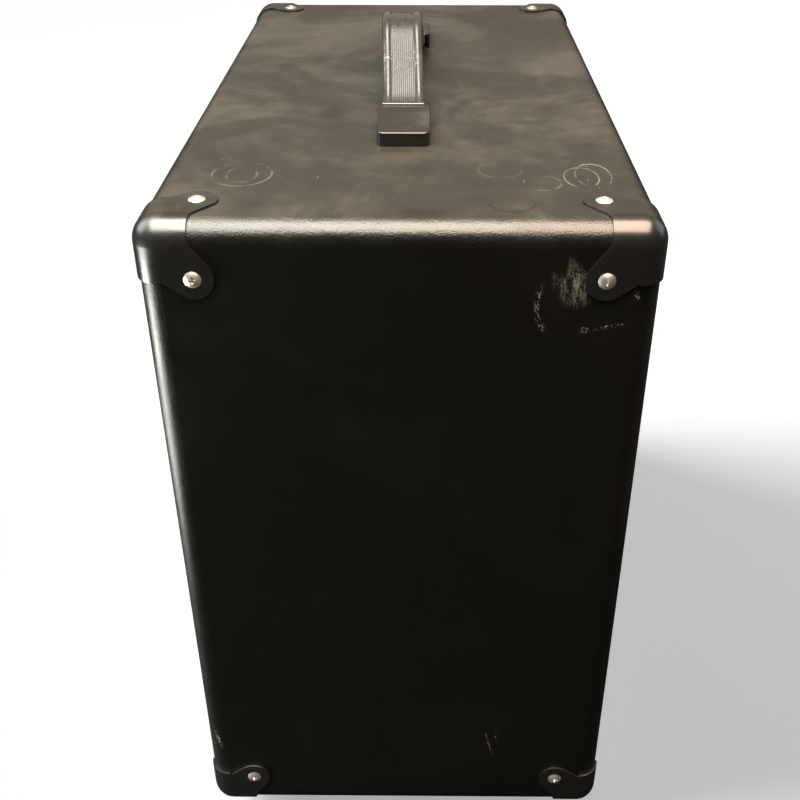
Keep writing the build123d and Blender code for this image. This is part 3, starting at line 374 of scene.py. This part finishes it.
def strap_material():
    s = Surface("strap_vinyl")
    skin = s.noise(900.0, 3.0, 0.6)
    pull = s.noise(300.0, 3.0, 0.6, vector=s.place(scale=(0.12, 1, 1)))
    tone = s.mix(s.times(pull, 0.05), (0.016, 0.0150, 0.0135), DUST_AND_SHEEN)
    normal = s.bump(pull, 0.05 * MM, 0.35)
    normal = s.bump(skin, 0.03 * MM, 0.3, normal)
    return s.finish(tone, s.span(pull, 0.3, 0.7, 0.20, 0.28), normal, Coat_Weight=0.6, Coat_Roughness=0.18)


def rubber_material():
    s = Surface("foot_rubber")
    crumb = s.noise(600.0, 4.0, 0.7)
    dirt = s.span(s.noise(70.0, 4.0), 0.45, 0.7)
    tone = s.mix(s.times(dirt, 0.25), (0.018, 0.018, 0.018), (0.16, 0.14, 0.11))
    return s.finish(tone, s.span(crumb, 0.3, 0.7, 0.62, 0.8), s.bump(crumb, 0.08 * MM, 0.6))


def paper_material():
    s = Surface("paper_cone")
    fibre = s.noise(420.0, 5.0, 0.7, 0.8)
    blot = s.noise(30.0, 3.0)
    reach = s.length(s.place(location=(0, 0, -SPEAKER_Z), scale=(1, 0, 1)))
    ribs = s.math("SINE", s.times(reach, 2 * pi / (8.5 * MM)))
    tone = s.mix(fibre, (0.030, 0.028, 0.026), (0.085, 0.080, 0.072))
    tone = s.mix(s.times(s.span(blot, 0.5, 0.7), 0.3), tone, (0.12, 0.11, 0.095))
    normal = s.bump(s.span(ribs, 0.2, 1.0), 0.8 * MM, 0.5)
    return s.finish(tone, 0.82, s.bump(fibre, 0.15 * MM, 0.6, normal))


def cloth_material(name, dark, light):
    s = Surface(name)
    weave = s.times(s.waves(1.9 * MM, "X"), s.waves(1.9 * MM, "Z"))
    fuzz = s.noise(900.0, 3.0, 0.7)
    mixed = s.math("ADD", s.times(weave, 0.6), s.times(fuzz, 0.5))
    return s.finish(s.mix(mixed, dark, light), 0.7, s.bump(mixed, 0.15 * MM, 0.7))


def board_material():
    s = Surface("terminal_board")
    tracks = s.span(s.waves(6.5 * MM, "DIAGONAL", 9.0, profile="SAW"), 0.55, 0.6)
    speckle = s.noise(500.0, 3.0)
    tone = s.mix(s.times(tracks, 0.5), (0.20, 0.12, 0.05), (0.30, 0.19, 0.08))
    tone = s.mix(s.times(speckle, 0.35), tone, (0.12, 0.07, 0.03))
    return s.finish(tone, 0.42, s.bump(speckle, 0.04 * MM, 0.5), Coat_Weight=0.3)


def panel_material():
    s = Surface("panel_paint")
    lines = s.noise(900.0, 3.0, 0.6, vector=s.place(scale=(0.02, 1, 1)))
    wear = s.span(s.noise(24.0, 4.0, 0.6), 0.5, 0.75)
    tone = s.mix(s.times(wear, 0.12), (0.014, 0.014, 0.015), (0.10, 0.10, 0.10))
    return s.finish(tone, s.span(lines, 0.3, 0.7, 0.30, 0.42), s.bump(lines, 0.03 * MM, 0.6),
                    Metallic=0.35)


def lamp_material():
    s = Surface("lamp_lens")
    facets = s.cells(420.0, "F1")
    tone = s.mix(facets, (0.55, 0.02, 0.01), (0.85, 0.10, 0.05))
    return s.finish(tone, s.span(s.noise(300.0), 0.3, 0.7, 0.08, 0.16), s.bump(facets, 0.3 * MM, 0.7),
                    Coat_Weight=1.0, Subsurface_Weight=0.2)


def ferrite_material():
    s = Surface("ferrite")
    chip = s.noise(240.0, 5.0, 0.7)
    swirl = s.noise(500.0, 2.0, vector=s.place(scale=(1, 0.1, 1)))
    tone = s.mix(chip, (0.05, 0.05, 0.053), (0.13, 0.13, 0.135))
    return s.finish(tone, s.span(swirl, 0.3, 0.7, 0.5, 0.7), s.bump(chip, 0.12 * MM, 0.6))


def coil_material():
    s = Surface("voice_coil")
    turns = s.waves(0.3 * MM, "Y")
    tarnish = s.noise(120.0, 3.0)
    tone = s.mix(s.span(tarnish, 0.4, 0.7), (0.62, 0.30, 0.14), (0.42, 0.18, 0.08))
    return s.finish(tone, 0.32, s.bump(turns, 0.1 * MM, 0.8), Metallic=0.9)


slots = {
    "vinyl": vinyl_material(),
    "plywood": wood_material("plywood", AXIS_X),
    "corner_plastic": plastic("corner_plastic", (0.0045, 0.0043, 0.0038), 0.31, 480.0, 0.05, 0.02),
    "nickel_screw": metal("nickel_screw", (0.95, 0.915, 0.84), 0.30),
    "foot_rubber": rubber_material(),
    "strap_vinyl": strap_material(),
    "spring_steel": metal("spring_steel", (0.60, 0.59, 0.56), 0.30, (1, 0.05, 1)),
    "handle_plastic": plastic("handle_plastic", (0.0045, 0.0043, 0.0038), 0.24, 620.0, 0.03, 0.01),
    "grille_cloth": grille_material(),
    "basket_paint": plastic("basket_paint", (0.018, 0.018, 0.020), 0.38, 300.0, 0.10, 0.05),
    "gasket_cork": cloth_material("gasket_cork", (0.16, 0.10, 0.05), (0.42, 0.30, 0.18)),
    "paper_cone": paper_material(),
    "treated_cloth": cloth_material("treated_cloth", (0.05, 0.035, 0.02), (0.16, 0.11, 0.06)),
    "voice_coil": coil_material(),
    "ferrite": ferrite_material(),
    "terminal_board": board_material(),
    "panel_paint": panel_material(),
    "pot_metal": metal("pot_metal", (0.66, 0.66, 0.66), 0.26, (1, 0.05, 1)),
    "knob_plastic": plastic("knob_plastic", (0.016, 0.016, 0.016), 0.24, 500.0, 0.02, 0.03),
    "black_plastic": plastic("black_plastic", (0.020, 0.020, 0.020), 0.40, 500.0, 0.04, 0.02),
    "lamp_lens": lamp_material(),
    "capacitor_sleeve": plastic("capacitor_sleeve", (0.02, 0.04, 0.12), 0.30, 300.0, 0.03, 0.05),
}
upright_wood = wood_material("plywood_upright", AXIS_Z)
black_wood = painted_wood()
own_finish = {"left_side_board": upright_wood, "right_side_board": upright_wood, "cleats": upright_wood,
              "speaker_baffle": black_wood, "grille_frame": black_wood}
marking = plastic("panel_marking", (0.62, 0.61, 0.57), 0.5, 400.0, 0.02)

# ---------------------------------------------------------------- dress the CAD nodes
# How far the edges of some pieces are rounded, in mm
FINE_EDGES = {
    "corner_protectors_front": 0.55, "corner_protectors_rear": 0.55, "handle_cap_left": 0.35,
    "handle_cap_right": 0.35, "control_panel": 0.3, "upper_back_panel": 0.8, "lower_back_panel": 0.8,
    "speaker_baffle": 0.5, "cleats": 0.5, "heat_sink": 0.2, "switch_housing": 0.3, "power_rocker": 0.35,
    "magnet_ring": 0.5, "pole_plate": 0.4, "mains_inlet": 0.3, "chassis": 0.2, "panel_nuts": 0.25,
    "mains_transformer": 0.4, "circuit_board": 0.15,
}
for part in frame["record"]["subparts"]:
    node = nodes[part["node"]]
    material = own_finish.get(part["node"], slots[part["material_slot"]])
    node.data.materials.clear()
    node.data.materials.append(material)
    if part["node"] in FINE_EDGES:
        bevel = node.modifiers.new("edge", "BEVEL")
        bevel.width = FINE_EDGES[part["node"]] * MM
        bevel.segments = 3
        bevel.limit_method = "ANGLE"
        bevel.angle_limit = radians(38)


# ---------------------------------------------------------------- small visual pieces
OUT = Vector((0, -1, 0))
PRINT_THICK = 0.08 * MM
DIAL_LOW, DIAL_STEP, DIAL_MARKS = -150, 30, 11
NUMBER_R = 19.2 * MM
NUMBER_LIFT = 0.05 * MM
panel_low, panel_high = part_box("control_panel")
panel_y = panel_low.y
mid_z = (panel_low.z + panel_high.z) / 2
knob_boxes = [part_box(f"knob_{i}") for i in range(1, 6)]
knobs = [((low.x + high.x) / 2, low.y) for low, high in knob_boxes]


def linked(name, data, material):
    """A new object in the scene with one material."""
    made = bpy.data.objects.new(name, data)
    bpy.context.collection.objects.link(made)
    data.materials.append(material)
    return made


def mesh_piece(name, verts, faces, material, body):
    data = bpy.data.meshes.new(name)
    data.from_pydata(verts, [], faces)
    data.validate()
    data.update()
    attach(linked(name, data, material), body)


def slab(verts, faces, corners, thick):
    """Append a thin closed prism over a polygon, raised toward the front."""
    first = len(verts)
    count = len(corners)
    verts.extend(corners)
    verts.extend([c + OUT * thick for c in corners])
    faces.append([first + i for i in reversed(range(count))])
    faces.append([first + count + i for i in range(count)])
    for i in range(count):
        j = (i + 1) % count
        faces.append([first + i, first + j, first + count + j, first + count + i])


def printed_lines():
    """The tick marks round every knob and an upright line near each end of the panel."""
    verts, faces = [], []
    for x, _ in knobs:
        centre = Vector((x, panel_y, mid_z))
        for i in range(DIAL_MARKS):
            angle = radians(DIAL_LOW + DIAL_STEP * i)
            out = Vector((sin(angle), 0, cos(angle)))
            across = Vector((cos(angle), 0, -sin(angle)))
            inner, outer = (13.0, 15.4) if i % 5 else (12.6, 16.2)
            half = 0.28
            corners = [centre + (out * reach + across * side) * MM
                       for reach, side in ((inner, -half), (inner, half), (outer, half), (outer, -half))]
            slab(verts, faces, corners, PRINT_THICK)
    for x in (-207, 207):
        half, tall = 0.4, 24
        corners = [Vector((x * MM + side * MM, panel_y, mid_z + up * MM))
                   for side, up in ((-half, -tall), (half, -tall), (half, tall), (-half, tall))]
        slab(verts, faces, corners, PRINT_THICK)
    mesh_piece("dial_ticks", verts, faces, marking, "cabinet")


def dial_numbers():
    """The even numbers from 0 to 10 round every knob."""
    for index, (x, _) in enumerate(knobs, start=1):
        for i in range(0, DIAL_MARKS, 2):
            angle = radians(DIAL_LOW + DIAL_STEP * i)
            text = bpy.data.curves.new(f"dial_number_{index}_{i}", "FONT")
            text.body = str(i)
            text.size = 3.6 * MM
            text.extrude = PRINT_THICK / 2
            text.align_x = "CENTER"
            text.align_y = "CENTER"
            number = linked(text.name, text, marking)
            number.rotation_euler = (radians(90), 0, 0)
            out = Vector((sin(angle), 0, cos(angle)))
            number.location = Vector((x, panel_y - NUMBER_LIFT, mid_z)) + out * NUMBER_R
            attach(number, "cabinet")


def knob_pointers():
    """A raised white line on every knob, turning with it."""
    half, near, far, sunk, thick = 0.5, 1.9, 7.3, 0.5, 0.55
    for index, (x, front_y) in enumerate(knobs, start=1):
        verts, faces = [], []
        corners = [Vector((x + side * MM, front_y + sunk * MM, mid_z + up * MM))
                   for side, up in ((-half, near), (half, near), (half, far), (-half, far))]
        slab(verts, faces, corners, thick * MM)
        mesh_piece(f"knob_pointer_{index}", verts, faces, marking, f"control_{index}")


printed_lines()
dial_numbers()
knob_pointers()


# ---------------------------------------------------------------- soft speaker rings
def flex_ring(node, profile, steps=160):
    """A turned soft ring in place of a CAD ring, from its section in mm. The bend is set while every
    section still lies along X."""
    count = len(profile)
    faces = []
    for j in range(steps):
        here, there = j * count, (j + 1) % steps * count
        for i in range(count):
            k = (i + 1) % count
            faces.append([here + i, there + i, there + k, here + k])
    data = bpy.data.meshes.new(node + "_soft")
    data.from_pydata([(r * MM, y * MM, 0) for _ in range(steps) for r, y in profile], [], faces)
    data.polygons.foreach_set("use_smooth", [True] * len(faces))
    ring = linked(node + "_soft", data, slots["treated_cloth"])
    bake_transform(ring)
    for index, vertex in enumerate(data.vertices):
        angle = 2 * pi * (index // count) / steps
        reach = vertex.co.x
        vertex.co = (reach * sin(angle), vertex.co.y, SPEAKER_Z + reach * cos(angle))
    data.update()
    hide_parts(node)


def surround():
    """A half roll between the cone's edge and a flat rim on the basket."""
    roll_r, roll_y, outside, inside, rim_r = 132.1, -96.9, 5.0, 4.2, 142.7
    turns = [pi * i / 18 for i in range(19)]
    front = [(roll_r - outside * cos(a), roll_y - outside * sin(a)) for a in turns]
    rim = [(rim_r, roll_y - 0.4), (rim_r, roll_y + 0.4), (roll_r + inside + 0.1, roll_y + 0.4)]
    back = [(roll_r + inside * cos(a), roll_y - inside * sin(a)) for a in turns]
    flex_ring("speaker_surround", front + rim + back)


def spider():
    """A corrugated disc between the voice coil and the basket."""
    inner, outer, wave, middle_y, height, thick = 26.3, 71.9, 7.6, -42.65, 0.6, 0.6
    reach = [inner + (outer - inner) * i / 60 for i in range(61)]
    front = [(r, middle_y + height * cos(2 * pi * (r - inner) / wave)) for r in reach]
    back = [(r, y + thick) for r, y in reversed(front)]
    flex_ring("speaker_spider", front + back)


surround()
spider()

# ---------------------------------------------------------------- stage, light and camera
FLOOR_SIZE = 600
FLOOR_GLOW = 0.395
ROOM_GLOW = 0.022
BACKDROP_GLOW = 0.975
KEY_STRENGTH = 3.8
LENS, SENSOR = 47.68, 36.0
SHIFT_X, SHIFT_Y = -0.0211, 0.0036
PITCH, YAW = radians(32.40), radians(-0.48)
CAMERA_AHEAD, CAMERA_SIDE, CAMERA_ABOVE = 0.481, 0.0127, 0.2029

scene = bpy.context.scene
bpy.ops.mesh.primitive_plane_add(size=FLOOR_SIZE, location=(0, 0, 0))
floor = bpy.context.object
floor.name = "floor"
f = Surface("floor")
# Pale to the camera, but darker in what it reflects onto the object
seen = f.node("ShaderNodeLightPath").outputs["Is Camera Ray"]
pale = f.mix(f.noise(3.0, 2.0), (0.82, 0.82, 0.82), (0.86, 0.86, 0.86))
f.finish(f.mix(seen, (0.09, 0.088, 0.08), pale), 0.9, Specular_IOR_Level=0.0,
         Emission_Color=(1, 1, 1, 1), Emission_Strength=f.times(seen, FLOOR_GLOW))
floor.data.materials.append(f.material)

world = bpy.data.worlds.new("studio")
scene.world = world
world.use_nodes = True
tree = world.node_tree
sky = tree.nodes["Background"]
sky.inputs["Color"].default_value = (0.80, 0.78, 0.72, 1)
sky.inputs["Strength"].default_value = ROOM_GLOW
backdrop = tree.nodes.new("ShaderNodeBackground")
backdrop.inputs["Color"].default_value = (1, 1, 1, 1)
backdrop.inputs["Strength"].default_value = BACKDROP_GLOW
camera_ray = tree.nodes.new("ShaderNodeLightPath")
choose = tree.nodes.new("ShaderNodeMixShader")
tree.links.new(camera_ray.outputs["Is Camera Ray"], choose.inputs[0])
tree.links.new(sky.outputs[0], choose.inputs[1])
tree.links.new(backdrop.outputs[0], choose.inputs[2])
tree.links.new(choose.outputs[0], tree.nodes["World Output"].inputs[0])


def aimed(name, data, location, direction):
    """A light or camera in the scene that looks along a direction."""
    made = bpy.data.objects.new(name, data)
    bpy.context.collection.objects.link(made)
    made.location = location
    made.rotation_euler = Vector(direction).to_track_quat("-Z", "Y").to_euler()
    return made


def softbox(name, location, target, size, radiance, color, receivers=None):
    """A rectangular soft light facing its target, which lights all or only some receivers."""
    data = bpy.data.lights.new(name, "AREA")
    data.shape = "RECTANGLE"
    data.size, data.size_y = size
    data.energy = radiance * pi * size[0] * size[1]
    data.color = color
    box = aimed(name, data, location, Vector(target) - Vector(location))
    box.visible_camera = False
    box.light_linking.receiver_collection = receivers


off_floor = bpy.data.collections.new("off_floor")
off_floor.objects.link(floor)
off_floor.collection_objects[0].light_linking.link_state = "EXCLUDE"
strap_only = bpy.data.collections.new("strap_only")
strap_only.objects.link(nodes["handle_strap"])

# Overhead panels: the bright band along the rounded top edge, cream at the left to rose at the right
for name, y, radiance, color in (("cream", -0.6, 31, (0.97, 1.0, 0.93)),
                                 ("warm", 0.0, 27, (1.0, 0.88, 0.72)),
                                 ("rose", 0.6, 25, (1.0, 0.68, 0.50))):
    softbox("overhead_" + name, (0.57, y, 1.75), (0.571, y, 0.0), (0.6, 1.3), radiance, color, off_floor)
# A dim wall beyond the far end: the sheen on the top
softbox("far_wall", (-1.7, 0.0, 1.05), (0.0, 0.0, 0.5), (2.6, 0.9), 0.3, (1.0, 0.95, 0.85))
# A low strip at the left: the end face falls off to the right
softbox("left_strip", (0.36, -0.62, 0.10), (0.25, 0.0, 0.25), (0.3, 0.2), 38, (1.0, 0.98, 0.92), off_floor)
# A high panel for the arched strap alone
softbox("strap_panel", (-0.5, 0.0, 1.8), (0.07, 0.0, 0.48), (0.7, 0.5), 9, (1.0, 0.95, 0.88), strap_only)
# Fill for the back
softbox("fill_back", (-0.6, 2.2, 1.4), (0, 0, 0.2), (1.8, 1.4), 2.0, (0.95, 0.97, 1.0))
# Broad key from the front's side: a soft shadow on the floor behind
key = bpy.data.lights.new("key", "SUN")
key.energy = KEY_STRENGTH
key.angle = radians(40)
aimed("key", key, (0, 0, 0), (0.12, 0.83, -0.55))

lens = bpy.data.cameras.new("camera")
lens.sensor_width = SENSOR
lens.lens = LENS
lens.shift_x = SHIFT_X
lens.shift_y = SHIFT_Y
lens.clip_start = 0.01
skin_low, skin_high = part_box("vinyl_covering")
stand = (skin_high.x + CAMERA_AHEAD, CAMERA_SIDE, skin_high.z + CAMERA_ABOVE)
scene.camera = aimed("camera", lens, stand, (-cos(YAW) * cos(PITCH), sin(YAW) * cos(PITCH), -sin(PITCH)))
scene.view_settings.view_transform = "Standard"
